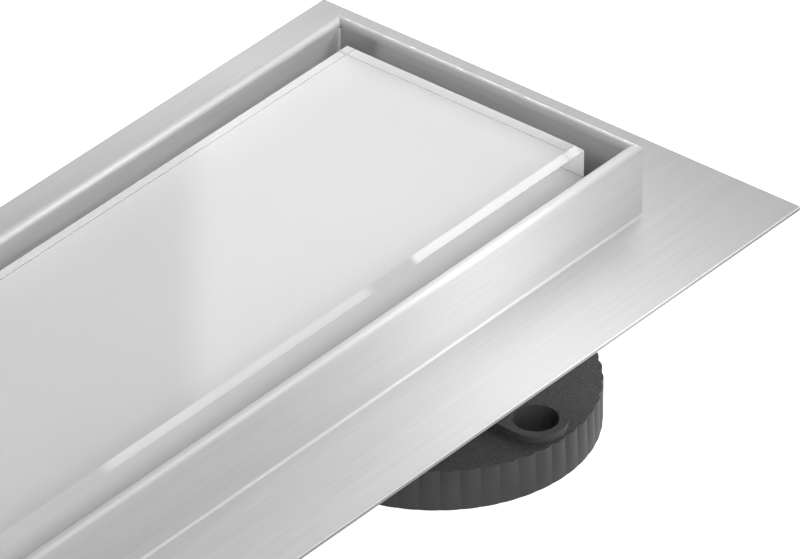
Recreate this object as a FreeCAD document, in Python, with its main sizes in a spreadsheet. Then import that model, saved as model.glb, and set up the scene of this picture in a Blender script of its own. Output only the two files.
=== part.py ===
"""Linear shower drain with a framed glass cover, built as a parametric document.

All sizes are millimetres. The floor is z = 0, the trap's axis is x = y = 0, the channel runs
along X and the trap's outlet points along +Y. The sheet Sizes holds the driving dimensions,
and the sheet Places works out the heights and half widths that several pieces share.
"""
import FreeCAD, Part
import math
import os
import Sketcher

V = FreeCAD.Vector
doc = FreeCAD.newDocument("linear_shower_drain")

# Driving dimensions
SIZES = {
    # The stainless channel
    "channel_length": 600.0,
    "channel_width": 128.0,
    "flange_margin": 23.3,
    "flange_height": 58.4,
    "steel_sheet": 1.0,
    "rim_rise": 17.2,
    "hem_gap": 0.6,
    "crease_radius": 0.7,
    "sump_depth": 16.4,
    "floor_fall": 3.0,
    "sump_half": 46.0,
    "end_flat": 42.0,
    "floor_bend": 2.0,
    "trough_corner": 1.0,
    # The glass cover
    "glass_gap_side": 6.4,
    "glass_gap_end": 5.6,
    "glass_thickness": 8.0,
    "glass_bevel": 1.3,
    "glass_proud": 0.4,
    "bond_thickness": 1.0,
    "bond_width": 12.0,
    "bond_edge": 4.0,
    "tray_sheet": 1.5,
    "tray_inset": 3.7,
    "tray_lip": 8.0,
    "tray_notch": 4.0,
    # The supports under the cover
    "bridge_from_middle": 92.0,
    "bridge_end_space": 50.8,
    "bridge_strip": 20.0,
    "bridge_clearance": 3.5,
    "bridge_sheet": 1.5,
    "bridge_foot": 8.0,
    "pad_thickness": 3.0,
    "pad_inset": 2.0,
    # The trap and its fixing
    "gasket_thickness": 2.0,
    "ring_clearance": 0.1,
    "ring_wall": 3.0,
    "ring_plate": 3.0,
    "ring_collar": 8.0,
    "screw_edge": 4.0,
    "hole_land": 4.0,
    "collar_clearance": 1.0,
    "screw_radius": 2.0,
    "screw_head": 3.3,
    "screw_head_height": 2.4,
    "screw_length": 14.0,
    "screw_clearance": 0.3,
    "thread_clearance": 0.05,
    "trap_overlap": 10.5,
    "trap_wall": 2.5,
    "trap_top": 3.5,
    "weir_height": 26.0,
    "outlet_box_half": 32.0,
    "outlet_box_depth": 26.5,
    "outlet_box_clearance": 1.8,
    "outlet_box_headroom": 2.4,
    "spigot_radius": 25.0,
    "spigot_wall": 1.8,
    "spigot_height": 27.5,
    "spigot_length": 42.0,
    "spigot_chamfer": 1.0,
    # The dip tube, its seal and the strainer
    "tube_clearance": 1.5,
    "tube_wall": 2.0,
    "tube_bottom": 6.5,
    "tube_rim_clearance": 1.2,
    "tube_rim_thickness": 2.0,
    "seal_half": 1.0,
    "seal_depth": 5.8,
    "strainer_sheet": 0.8,
    "strainer_depth": 9.0,
    "strainer_clearance": 1.0,
    "strainer_edge": 2.0,
    "strainer_hole": 2.0,
    "strainer_pitch": 7.2,
    "strainer_hole_edge": 5.5,
    # The levelling feet
    "foot_inset": 40.7,
    "foot_radius": 35.4,
    "foot_thickness": 9.8,
    "flute_count": 51,
    "flute_depth_top": 0.6,
    "flute_depth_bottom": 0.1,
    "foot_turned": -1.7,
    "hub_radius": 12.5,
    "boss_circle": 27.65,
    "boss_radius": 6.8,
    "boss_hole": 4.95,
    "boss_rise": 1.7,
    "tower_radius": 9.6,
    "tower_height": 18.0,
    "stud_radius": 4.0,
    "stud_clearance": 0.5,
    "stud_bottom": 3.2,
    "stud_flange_radius": 8.0,
    "stud_flange": 2.0,
    "stud_chamfer": 0.8,
    "nut_flats": 6.5,
    "nut_height": 6.5,
    "nut_clearance": 0.05,
    "nut_fit": 0.05,
    "lock_nut_height": 4.0,
    "pocket_inner": 15.0,
    "pocket_outer": 30.5,
    "pocket_depth": 6.6,
    "pocket_half_angle": 22.0,
}

# Heights and half widths worked out from them
PLACES = {
    "flange_under": "Sizes.flange_height - Sizes.steel_sheet",
    "hem_thickness": "2 * Sizes.steel_sheet + Sizes.hem_gap",
    "rim_top": "Sizes.flange_height + Sizes.rim_rise",
    "hem_centre": "rim_top - hem_thickness / 2",
    "frame_half_x": "Sizes.channel_length / 2 - Sizes.flange_margin",
    "frame_half_y": "Sizes.channel_width / 2 - Sizes.flange_margin",
    "trough_half_x": "frame_half_x - hem_thickness",
    "trough_half_y": "frame_half_y - hem_thickness",
    "sump_floor": "Sizes.flange_height - Sizes.sump_depth",
    "end_floor": "sump_floor + Sizes.floor_fall",
    "sump_under": "sump_floor - Sizes.steel_sheet",
    "end_under": "end_floor - Sizes.steel_sheet",
    "slope_end": "Sizes.channel_length / 2 - Sizes.flange_margin - Sizes.end_flat",
    "floor_slope": "Sizes.floor_fall / (slope_end - Sizes.sump_half)",
    "glass_half_x": "trough_half_x - Sizes.glass_gap_end",
    "glass_half_y": "trough_half_y - Sizes.glass_gap_side",
    "glass_top": "rim_top + Sizes.glass_proud",
    "glass_under": "glass_top - Sizes.glass_thickness",
    "tray_top": "glass_under - Sizes.bond_thickness",
    "tray_under": "tray_top - Sizes.tray_sheet",
    "tray_half_x": "glass_half_x - Sizes.tray_inset",
    "tray_half_y": "glass_half_y - Sizes.tray_inset",
    "bridge_inner": "Sizes.bridge_from_middle",
    "bridge_outer": "tray_half_x - Sizes.bridge_end_space",
    "bridge_half": "tray_half_y - Sizes.tray_sheet - Sizes.bridge_clearance",
    "pad_under": "tray_under - Sizes.pad_thickness",
    "bridge_under": "pad_under - Sizes.bridge_sheet",
    "trap_top_face": "sump_under - Sizes.gasket_thickness",
    "trap_ceiling": "trap_top_face - Sizes.trap_top",
    "ring_top": "sump_floor + Sizes.ring_plate",
    "ring_radius": "trough_half_y - Sizes.floor_bend - Sizes.ring_clearance",
    "screw_circle": "ring_radius - Sizes.screw_edge",
    "outlet_hole": "screw_circle - Sizes.hole_land",
    "ring_bore": "outlet_hole - Sizes.collar_clearance - Sizes.ring_wall",
    "box_near": "trough_half_y + Sizes.steel_sheet + Sizes.hem_gap + Sizes.outlet_box_clearance",
    "box_far": "box_near + Sizes.outlet_box_depth",
    "box_top": "flange_under - Sizes.outlet_box_headroom",
    "trap_radius": "box_near + Sizes.trap_overlap",
    "tube_radius": "ring_bore - Sizes.tube_clearance",
    "tube_rim": "screw_circle - Sizes.screw_head - Sizes.tube_rim_clearance",
    "tube_rim_top": "ring_top + Sizes.tube_rim_thickness",
    "seal_centre": "ring_top - Sizes.seal_depth",
    "seal_root": "ring_bore - 2 * Sizes.seal_half",
    "strainer_cup": "tube_radius - Sizes.tube_wall - Sizes.strainer_clearance",
    "strainer_bottom": "tube_rim_top + Sizes.strainer_sheet - Sizes.strainer_depth",
    "foot_x": "Sizes.channel_length / 2 - Sizes.foot_inset",
    "boss_top": "Sizes.foot_thickness + Sizes.boss_rise",
    "nut_bottom": "Sizes.tower_height - Sizes.nut_height",
}


def make_sheet(name, rows):
    """Write one spreadsheet: a label, a value or formula, and its alias in each row."""
    sheet = doc.addObject("Spreadsheet::Sheet", name)
    for number, (alias, value) in enumerate(rows.items(), start=1):
        text = "=" + value if isinstance(value, str) else str(value)
        sheet.set(f"A{number}", alias.replace("_", " "))
        sheet.set(f"B{number}", text)
        sheet.setAlias(f"B{number}", alias)
    return sheet


sizes = make_sheet("Sizes", SIZES)
places = make_sheet("Places", PLACES)
doc.recompute()


def number(formula):
    """The present value of a formula on the two sheets."""
    return float(sizes.evalExpression(formula))


# Sketch helpers: every corner is held by a dimension that reads the sheets

def body_plane(body, role):
    """The origin plane of a body that has this role."""
    return [item for item in body.Origin.OriginFeatures if item.Role == role][0]


def add_sketch(body, name, role, height="0"):
    """A sketch on one of the body's own planes, lifted along its normal."""
    sketch = body.newObject("Sketcher::SketchObject", name)
    sketch.AttachmentSupport = [(body_plane(body, role), "")]
    sketch.MapMode = "FlatFace"
    sketch.setExpression(".AttachmentOffset.Base.z", height)
    return sketch


def free_sketch(name, height="0", upright=False):
    """A sketch outside a body: level at a height, or upright in the XZ plane."""
    sketch = doc.addObject("Sketcher::SketchObject", name)
    if upright:
        sketch.Placement = FreeCAD.Placement(V(0, 0, 0), FreeCAD.Rotation(V(1, 0, 0), 90))
    else:
        sketch.setExpression(".Placement.Base.z", height)
    return sketch


def hold(sketch, kind, geometry, point, formula):
    """Fix one coordinate of a point of the sketch by a formula."""
    value = number(formula)
    index = sketch.addConstraint(Sketcher.Constraint(kind, -1, 1, geometry, point, value))
    sketch.setExpression(f"Constraints[{index}]", formula)


def polygon(sketch, corners):
    """A closed outline through corners given as pairs of formulas."""
    first = sketch.GeometryCount
    points = [V(number(x), number(y), 0) for x, y in corners]
    count = len(points)
    for index in range(count):
        line = Part.LineSegment(points[index], points[(index + 1) % count])
        sketch.addGeometry(line, False)
    for index, (x, y) in enumerate(corners):
        following = first + (index + 1) % count
        sketch.addConstraint(Sketcher.Constraint("Coincident", first + index, 2, following, 1))
        hold(sketch, "DistanceX", first + index, 1, x)
        hold(sketch, "DistanceY", first + index, 1, y)


def rectangle(sketch, half_x, half_y):
    """A rectangle centred on the sketch's origin."""
    polygon(sketch, [(f"-({half_x})", f"-({half_y})"), (half_x, f"-({half_y})"),
                     (half_x, half_y), (f"-({half_x})", half_y)])


def circle(sketch, x, y, radius):
    """A circle with its centre and radius held by formulas."""
    shape = Part.Circle(V(number(x), number(y), 0), V(0, 0, 1), number(radius))
    index = sketch.addGeometry(shape, False)
    size = sketch.addConstraint(Sketcher.Constraint("Radius", index, number(radius)))
    sketch.setExpression(f"Constraints[{size}]", radius)
    hold(sketch, "DistanceX", index, 3, x)
    hold(sketch, "DistanceY", index, 3, y)


def rounded_rectangle(sketch, half_x, half_y, radius):
    """A centred rectangle with tangent corner arcs, starting at its lower left line."""
    first = sketch.GeometryCount
    x, y, r = number(half_x), number(half_y), number(radius)
    sides = [(V(r - x, -y, 0), V(x - r, -y, 0)), (V(x, r - y, 0), V(x, y - r, 0)),
             (V(x - r, y, 0), V(r - x, y, 0)), (V(-x, y - r, 0), V(-x, r - y, 0))]
    centres = [V(x - r, r - y, 0), V(x - r, y - r, 0), V(r - x, y - r, 0), V(r - x, r - y, 0)]
    for quarter in range(4):
        start = (quarter - 1) * math.pi / 2
        arc = Part.ArcOfCircle(Part.Circle(centres[quarter], V(0, 0, 1), r), start, start + math.pi / 2)
        sketch.addGeometry(Part.LineSegment(*sides[quarter]), False)
        sketch.addGeometry(arc, False)
    for quarter in range(4):
        line, arc = first + 2 * quarter, first + 2 * quarter + 1
        following = first + (2 * quarter + 2) % 8
        sketch.addConstraint(Sketcher.Constraint("Tangent", line, 2, arc, 1))
        sketch.addConstraint(Sketcher.Constraint("Tangent", arc, 2, following, 1))
        sketch.addConstraint(Sketcher.Constraint("Vertical" if quarter % 2 else "Horizontal", line))
        if quarter:
            sketch.addConstraint(Sketcher.Constraint("Equal", first + 1, arc))
    size = sketch.addConstraint(Sketcher.Constraint("Radius", first + 1, r))
    sketch.setExpression(f"Constraints[{size}]", radius)
    hold(sketch, "DistanceY", first, 1, f"-({half_y})")
    hold(sketch, "DistanceX", first + 2, 1, half_x)
    hold(sketch, "DistanceY", first + 4, 1, half_y)
    hold(sketch, "DistanceX", first + 6, 1, f"-({half_x})")


def long_slot(sketch, radius, reach):
    """A slot along the sketch's Y: two half circles this far from its origin, and two lines."""
    r, y = number(radius), number(reach)
    first = sketch.GeometryCount
    for side, start in ((1, 0), (-1, math.pi)):
        round_end = Part.Circle(V(0, side * y, 0), V(0, 0, 1), r)
        sketch.addGeometry(Part.ArcOfCircle(round_end, start, start + math.pi), False)
        sketch.addGeometry(Part.LineSegment(V(-side * r, side * y, 0), V(-side * r, -side * y, 0)), False)
    for index in range(4):
        following = first + (index + 1) % 4
        sketch.addConstraint(Sketcher.Constraint("Tangent", first + index, 2, following, 1))
    for end, centre_y in ((first, reach), (first + 2, f"-({reach})")):
        hold(sketch, "DistanceX", end, 3, "0")
        hold(sketch, "DistanceY", end, 3, centre_y)
    size = sketch.addConstraint(Sketcher.Constraint("Radius", first, r))
    sketch.setExpression(f"Constraints[{size}]", radius)


# Feature helpers

def new_body(label):
    body = doc.addObject("PartDesign::Body", label)
    body.Label = label
    return body


def extrude(body, kind, sketch, length, reverse=False):
    """Pad or Pocket a sketch by a formula."""
    feature = body.newObject(f"PartDesign::{kind}", f"{sketch.Name}_{kind.lower()}")
    feature.Profile = sketch
    feature.Reversed = reverse
    feature.setExpression("Length", length)
    return feature


def revolve(body, kind, sketch):
    """Revolution or Groove of a sketch about its own vertical axis."""
    feature = body.newObject(f"PartDesign::{kind}", f"{sketch.Name}_{kind.lower()}")
    feature.Profile = sketch
    feature.ReferenceAxis = (sketch, ["V_Axis"])
    feature.Angle = 360.0
    return feature


def polar(body, feature, sketch, count):
    """Repeat a feature round the vertical axis of its level sketch."""
    pattern = body.newObject("PartDesign::PolarPattern", f"{feature.Name}_pattern")
    pattern.Originals = [feature]
    pattern.Axis = (sketch, ["N_Axis"])
    pattern.Angle = 360.0
    pattern.Occurrences = int(count)
    body.Tip = pattern
    return pattern


def turned_piece(label, outline):
    """A turned piece: one outline of (radius, height) pairs, revolved."""
    body = new_body(label)
    sketch = add_sketch(body, f"{label}_outline", "XZ_Plane")
    polygon(sketch, outline)
    revolve(body, "Revolution", sketch)
    return body


def edge_names(shape, wanted):
    """The names of the edges of a shape that pass a test."""
    return [f"Edge{index}" for index, edge in enumerate(shape.Edges, start=1) if wanted(edge)]


def place(piece, x="0", y="0", z="0"):
    """Bind a piece's place to the sheets."""
    for axis, formula in (("x", x), ("y", y), ("z", z)):
        if formula != "0":
            piece.setExpression(f".Placement.Base.{axis}", formula)


def primitive(kind, name, sizes_by_property, x="0", y="0", z="0"):
    """A Part primitive whose sizes and place are bound to the sheets."""
    shape = doc.addObject(f"Part::{kind}", name)
    for prop, formula in sizes_by_property.items():
        shape.setExpression(prop, formula)
    place(shape, x, y, z)
    return shape


def block(name, low, high):
    """A box between two corners given as triples of formulas."""
    spans = {prop: f"({top}) - ({base})" for prop, base, top in zip(("Length", "Width", "Height"), low, high)}
    return primitive("Box", name, spans, *low)


def boolean(kind, name, base, tool):
    """Part::Cut or Part::Common of two objects."""
    result = doc.addObject(f"Part::{kind}", name)
    result.Base = base
    result.Tool = tool
    return result


def fuse(name, shapes):
    """One fusion of several objects."""
    result = doc.addObject("Part::MultiFuse", name)
    result.Shapes = shapes
    result.Refine = True
    return result


def prism(name, sketch, length):
    """A solid drawn up from a free sketch, along its normal."""
    solid = doc.addObject("Part::Extrusion", name)
    solid.Base = sketch
    solid.DirMode = "Normal"
    solid.Solid = True
    solid.setExpression("LengthFwd", length)
    return solid


# The channel: flange, hemmed rim and sloping trough, folded and welded from one sheet

def rim_frame():
    """The flange, the upright wall on it and the wall's folded top edge, mitred at the corners."""
    body = new_body("rim_frame")
    inside = ("Places.frame_half_x - Sizes.steel_sheet", "Places.frame_half_y - Sizes.steel_sheet")
    flange = add_sketch(body, "flange", "XY_Plane", "Places.flange_under")
    rectangle(flange, "Sizes.channel_length / 2", "Sizes.channel_width / 2")
    rectangle(flange, *inside)
    extrude(body, "Pad", flange, "Sizes.steel_sheet")

    wall = add_sketch(body, "rim_wall", "XY_Plane", "Places.flange_under")
    rectangle(wall, "Places.frame_half_x", "Places.frame_half_y")
    rectangle(wall, *inside)
    upright = extrude(body, "Pad", wall, "Places.hem_centre - Places.flange_under")
    doc.recompute()

    # The small bend where the wall stands on the flange
    crease_level = number("Sizes.flange_height")
    half_length = number("Sizes.channel_length / 2") - 1
    crease = body.newObject("PartDesign::Fillet", "crease")
    crease.Base = (upright, edge_names(upright.Shape, lambda edge: (
        abs(edge.BoundBox.ZMin - crease_level) < 1e-4 and abs(edge.BoundBox.ZMax - crease_level) < 1e-4
        and edge.BoundBox.XMax < half_length and edge.BoundBox.XMin > -half_length)))
    crease.setExpression("Radius", "Sizes.crease_radius")
    doc.recompute()

    # The hem: half a tube carried round the rim
    route = add_sketch(body, "hem_route", "XY_Plane", "Places.hem_centre")
    rectangle(route, "Places.frame_half_x - Places.hem_thickness / 2",
              "Places.frame_half_y - Places.hem_thickness / 2")
    section = add_sketch(body, "hem_section", "YZ_Plane",
                         "Places.hem_thickness / 2 - Places.frame_half_x")
    half_tube(section)
    hem = body.newObject("PartDesign::AdditivePipe", "hem")
    hem.Profile = section
    hem.Spine = (route, [])
    hem.Transition = "Right corner"
    return body


def half_tube(sketch):
    """Half a ring, open downwards, centred on the hem's line at the near side."""
    y, z = "Places.hem_thickness / 2 - Places.frame_half_y", "Places.hem_centre"
    centre = V(number(y), number(z), 0)
    outer, inner = number("Places.hem_thickness / 2"), number("Sizes.hem_gap / 2")
    for radius in (outer, inner):
        sketch.addGeometry(Part.ArcOfCircle(Part.Circle(centre, V(0, 0, 1), radius), 0, math.pi), False)
    for side in (1, -1):
        sketch.addGeometry(Part.LineSegment(centre + V(side * inner, 0, 0), centre + V(side * outer, 0, 0)), False)
    for arc, radius in ((0, "Places.hem_thickness / 2"), (1, "Sizes.hem_gap / 2")):
        size = sketch.addConstraint(Sketcher.Constraint("Radius", arc, number(radius)))
        sketch.setExpression(f"Constraints[{size}]", radius)
        hold(sketch, "DistanceX", arc, 3, y)
        hold(sketch, "DistanceY", arc, 3, z)
    for line, arc_end in ((2, 1), (3, 2)):
        sketch.addConstraint(Sketcher.Constraint("Coincident", line, 1, 1, arc_end))
        sketch.addConstraint(Sketcher.Constraint("Coincident", line, 2, 0, arc_end))
        sketch.addConstraint(Sketcher.Constraint("Horizontal", line))


def trough_solid(name, half_x, half_y, corner, bottom_drop, bend):
    """A block with the trough's plan, cut to the falls of its floor, with bent lower edges.

    bottom_drop is how far the solid's underside lies below the trough's floor.
    """
    plan = free_sketch(f"{name}_plan", "Places.sump_under")
    rounded_rectangle(plan, half_x, half_y, corner)
    column = prism(f"{name}_column", plan, "Places.hem_centre - Places.sump_under")
    side = free_sketch(f"{name}_side", upright=True)
    sump, end = f"Places.sump_floor - {bottom_drop}", f"Places.end_floor - {bottom_drop}"
    polygon(side, [("-Sizes.sump_half", sump), ("Sizes.sump_half", sump),
                   ("Places.slope_end", end), ("Sizes.channel_length / 2", end),
                   ("Sizes.channel_length / 2", "Places.rim_top"),
                   ("-Sizes.channel_length / 2", "Places.rim_top"),
                   ("-Sizes.channel_length / 2", end), ("-Places.slope_end", end)])
    falls = prism(f"{name}_falls", side, "Sizes.channel_width")
    place(falls, y="0")
    side.setExpression(".Placement.Base.y", "Sizes.channel_width / 2")
    solid = boolean("Common", f"{name}_cut", column, falls)
    doc.recompute()
    low, high = number("Places.sump_under") - 1, number("Places.end_floor") + 1e-3
    bent = doc.addObject("Part::Fillet", f"{name}_bent")
    bent.Base = solid
    reach = number(half_x) - number(corner) - 1e-3
    deep = number(half_y) - 1e-3
    chosen = [index for index, edge in enumerate(solid.Shape.Edges, start=1)
              if low < edge.BoundBox.ZMin and edge.BoundBox.ZMax < high
              and (edge.BoundBox.XMin > reach or edge.BoundBox.XMax < -reach
                   or edge.BoundBox.YMin > deep or edge.BoundBox.YMax < -deep)]
    bent.Edges = [(index, bend, bend) for index in chosen]
    return bent


def screw_places():
    """The angles of the four fixing screws, in degrees."""
    return [45, 135, 225, 315]


def screw_cylinders(name, radius, low, high):
    """Four upright cylinders on the screw circle, between two heights."""
    made = []
    for angle in screw_places():
        x = f"Places.screw_circle * cos({angle} deg)"
        y = f"Places.screw_circle * sin({angle} deg)"
        made.append(primitive("Cylinder", f"{name}_{angle}", {"Radius": radius, "Height": f"({high}) - ({low})"},
                              x, y, low))
    return made


def channel_body():
    frame = rim_frame()
    outer = trough_solid("trough_outside", "Places.trough_half_x + Sizes.steel_sheet",
                         "Places.trough_half_y + Sizes.steel_sheet",
                         "Sizes.trough_corner + Sizes.steel_sheet", "Sizes.steel_sheet",
                         number("Sizes.floor_bend + Sizes.steel_sheet"))
    inner = trough_solid("trough_inside", "Places.trough_half_x", "Places.trough_half_y",
                         "Sizes.trough_corner", "0", number("Sizes.floor_bend"))
    trough = boolean("Cut", "trough", outer, inner)
    sheet_metal = fuse("channel_sheet", [frame, trough])
    hole = primitive("Cylinder", "outlet_hole", {"Radius": "Places.outlet_hole", "Height": "3 * Sizes.steel_sheet"},
                     z="Places.sump_under - Sizes.steel_sheet")
    holes = fuse("floor_holes", [hole] + screw_cylinders(
        "floor_hole", "Sizes.screw_radius + Sizes.screw_clearance",
        "Places.sump_under - Sizes.steel_sheet", "Places.sump_floor + Sizes.steel_sheet"))
    return boolean("Cut", "channel_body", sheet_metal, holes)


# The cover: bevelled glass bonded to a folded tray

def glass_panel():
    body = new_body("glass_panel")
    plan = add_sketch(body, "glass_plan", "XY_Plane", "Places.glass_under")
    rectangle(plan, "Places.glass_half_x", "Places.glass_half_y")
    pane = extrude(body, "Pad", plan, "Sizes.glass_thickness")
    doc.recompute()
    top = number("Places.glass_top")
    bevel = body.newObject("PartDesign::Chamfer", "bevel")
    bevel.Base = (pane, edge_names(pane.Shape, lambda edge: edge.BoundBox.ZMin > top - 1e-4))
    bevel.setExpression("Size", "Sizes.glass_bevel")
    return body


def bond_strip(label, side):
    """One strip of bonding tape between the glass and the tray."""
    body = new_body(label)
    plan = add_sketch(body, f"{label}_plan", "XY_Plane", "Places.tray_top")
    near = f"{side} * (Places.tray_half_y - Sizes.bond_edge - Sizes.bond_width)"
    far = f"{side} * (Places.tray_half_y - Sizes.bond_edge)"
    reach = "Places.tray_half_x - Sizes.tray_inset"
    polygon(plan, [(f"-({reach})", near), (reach, near), (reach, far), (f"-({reach})", far)])
    extrude(body, "Pad", plan, "Sizes.bond_thickness")
    return body


def cover_tray():
    """A shallow folded tray, upside down, with its corners notched out for the folds."""
    body = new_body("cover_tray")
    plate = add_sketch(body, "tray_plate", "XY_Plane", "Places.tray_top - Sizes.tray_sheet")
    rectangle(plate, "Places.tray_half_x", "Places.tray_half_y")
    top = extrude(body, "Pad", plate, "Sizes.tray_sheet")
    lips = add_sketch(body, "tray_lips", "XY_Plane", "Places.tray_top - Sizes.tray_sheet")
    rectangle(lips, "Places.tray_half_x", "Places.tray_half_y")
    rectangle(lips, "Places.tray_half_x - Sizes.tray_sheet", "Places.tray_half_y - Sizes.tray_sheet")
    extrude(body, "Pad", lips, "Sizes.tray_lip - Sizes.tray_sheet", reverse=True)
    notches = add_sketch(body, "tray_notches", "XY_Plane", "Places.tray_top")
    for side_x in (-1, 1):
        for side_y in (-1, 1):
            near_x = f"{side_x} * (Places.tray_half_x - Sizes.tray_notch)"
            near_y = f"{side_y} * (Places.tray_half_y - Sizes.tray_notch)"
            far_x, far_y = f"{side_x} * Places.trough_half_x", f"{side_y} * Places.trough_half_y"
            polygon(notches, [(near_x, near_y), (far_x, near_y), (far_x, far_y), (near_x, far_y)])
    extrude(body, "Pocket", notches, "Sizes.tray_lip + Sizes.tray_sheet")
    doc.recompute()
    # The folds' outer radius, along the plate's four upper edges
    last = body.Tip
    fold_level = number("Places.tray_top")
    corner_x = number("Places.tray_half_x")
    corner_y = number("Places.tray_half_y")
    fold = body.newObject("PartDesign::Fillet", "tray_folds")
    fold.Base = (last, edge_names(last.Shape, lambda edge: (
        edge.BoundBox.ZMin > fold_level - 1e-4
        and (abs(abs(edge.CenterOfMass.x) - corner_x) < 1e-3
             or abs(abs(edge.CenterOfMass.y) - corner_y) < 1e-3))))
    fold.setExpression("Radius", "Sizes.tray_sheet")
    return body


# The supports: hat-section bridges spot-welded to the trough's floor, each with a rubber pad

def floor_level(x):
    """A formula for the trough's floor at a distance along the channel from the middle."""
    return f"(Places.sump_floor + ({x} - Sizes.sump_half) * Places.floor_slope)"


def support_bridge(label, x, side):
    body = new_body(label)
    section = add_sketch(body, f"{label}_section", "YZ_Plane", "-Sizes.bridge_strip / 2")
    # It stands on the higher edge of its strip of floor
    foot = floor_level(f"{x} + Sizes.bridge_strip / 2")
    inner = "Places.bridge_half - Sizes.bridge_sheet"
    outer = "Places.bridge_half"
    reach = "Places.bridge_half + Sizes.bridge_foot"
    foot_top = f"{foot} + Sizes.bridge_sheet"
    right = [(inner, "Places.bridge_under"), (inner, foot), (reach, foot), (reach, foot_top),
             (outer, foot_top), (outer, "Places.pad_under")]
    left = [(f"-({y})", z) for y, z in reversed(right)]
    polygon(section, right + left)
    extrude(body, "Pad", section, "Sizes.bridge_strip")
    place(body, x=f"{side} * {x}")
    return body


def buffer_pad(label, x, side):
    body = new_body(label)
    plan = add_sketch(body, f"{label}_plan", "XY_Plane", "Places.pad_under")
    rounded_rectangle(plan, "Sizes.bridge_strip / 2 - Sizes.pad_inset",
                      "Places.bridge_half - Sizes.pad_inset", "Sizes.pad_inset")
    extrude(body, "Pad", plan, "Sizes.pad_thickness")
    place(body, x=f"{side} * {x}")
    return body


# The trap: gasket, body, clamp ring, screws, dip tube, its seal and the hair strainer

def outlet_gasket():
    ring = primitive("Cylinder", "gasket_disc", {"Radius": "Places.ring_radius", "Height": "Sizes.gasket_thickness"},
                     z="Places.trap_top_face")
    bore = primitive("Cylinder", "gasket_bore", {"Radius": "Places.outlet_hole", "Height": "3 * Sizes.gasket_thickness"},
                     z="Places.trap_top_face - Sizes.gasket_thickness")
    holes = fuse("gasket_holes", [bore] + screw_cylinders(
        "gasket_hole", "Sizes.screw_radius + Sizes.screw_clearance",
        "Places.trap_top_face - Sizes.gasket_thickness", "Places.sump_floor"))
    return boolean("Cut", "outlet_gasket", ring, holes)


def trap_body():
    """A cup with a top plate, a weir in its wall, an outlet box and a pipe spigot."""
    cup = primitive("Cylinder", "trap_cup", {"Radius": "Places.trap_radius", "Height": "Places.trap_top_face"})
    box = block("trap_box", ("-Sizes.outlet_box_half", "Places.box_near", "0"),
                ("Sizes.outlet_box_half", "Places.box_far", "Places.box_top"))
    spigot = primitive("Cylinder", "trap_spigot", {
        "Radius": "Sizes.spigot_radius", "Height": "Sizes.spigot_length + Sizes.trap_wall"},
        y="Places.box_far - Sizes.trap_wall", z="Sizes.spigot_height")
    spigot.Placement.Rotation = FreeCAD.Rotation(V(1, 0, 0), -90)
    doc.recompute()
    rounded = doc.addObject("Part::Fillet", "trap_box_rounded")
    rounded.Base = box
    far_side = number("Places.box_far")
    upright = [index for index, edge in enumerate(box.Shape.Edges, start=1)
               if edge.BoundBox.YMin > far_side - 1e-3 and edge.BoundBox.ZLength > 1]
    box_round = number("2 * Sizes.trap_wall")
    rounded.Edges = [(index, box_round, box_round) for index in upright]
    end = doc.addObject("Part::Chamfer", "trap_spigot_end")
    end.Base = spigot
    mouth = number("Places.box_far + Sizes.spigot_length")
    lead = number("Sizes.spigot_chamfer")
    rims = [index for index, edge in enumerate(spigot.Shape.Edges, start=1)
            if edge.BoundBox.YMin > mouth - 1e-3]
    end.Edges = [(index, lead, lead) for index in rims]
    skin = fuse("trap_skin", [cup, rounded, end])

    inside_cup = primitive("Cylinder", "trap_inside", {
        "Radius": "Places.trap_radius - Sizes.trap_wall", "Height": "Places.trap_ceiling - Sizes.trap_wall"},
        z="Sizes.trap_wall")
    mouth_hole = primitive("Cylinder", "trap_mouth", {"Radius": "Places.outlet_hole", "Height": "3 * Sizes.trap_top"},
                           z="Places.trap_ceiling - Sizes.trap_top")
    inside_box = block("trap_box_inside",
                       ("Sizes.trap_wall - Sizes.outlet_box_half", "Places.box_near + Sizes.trap_wall",
                        "Sizes.trap_wall"),
                       ("Sizes.outlet_box_half - Sizes.trap_wall", "Places.box_far - Sizes.trap_wall",
                        "Places.box_top - Sizes.trap_wall"))
    weir = primitive("Cylinder", "trap_weir", {"Radius": "Places.trap_radius", "Height": "Sizes.weir_height"})
    beyond_weir = boolean("Cut", "trap_beyond_weir", inside_box, weir)
    bore = primitive("Cylinder", "trap_bore", {
        "Radius": "Sizes.spigot_radius - Sizes.spigot_wall",
        "Height": "Sizes.spigot_length + 4 * Sizes.trap_wall"},
        y="Places.box_far - 2 * Sizes.trap_wall", z="Sizes.spigot_height")
    bore.Placement.Rotation = FreeCAD.Rotation(V(1, 0, 0), -90)
    water = fuse("trap_water", [inside_cup, mouth_hole, beyond_weir, bore])
    shell = boolean("Cut", "trap_shell", skin, water)

    screw_end = "Places.ring_top - Sizes.screw_length"
    bosses = screw_cylinders("trap_boss", "2 * Sizes.screw_radius + Sizes.screw_clearance",
                             f"{screw_end} - Sizes.trap_wall", "Places.trap_top_face")
    pilots = screw_cylinders("trap_pilot", "Sizes.screw_radius + Sizes.thread_clearance",
                             f"{screw_end} - Sizes.thread_clearance", "Places.sump_floor")
    bossed = fuse("trap_bossed", [shell] + bosses)
    return boolean("Cut", "trap_body", bossed, fuse("trap_pilots", pilots))


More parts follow.
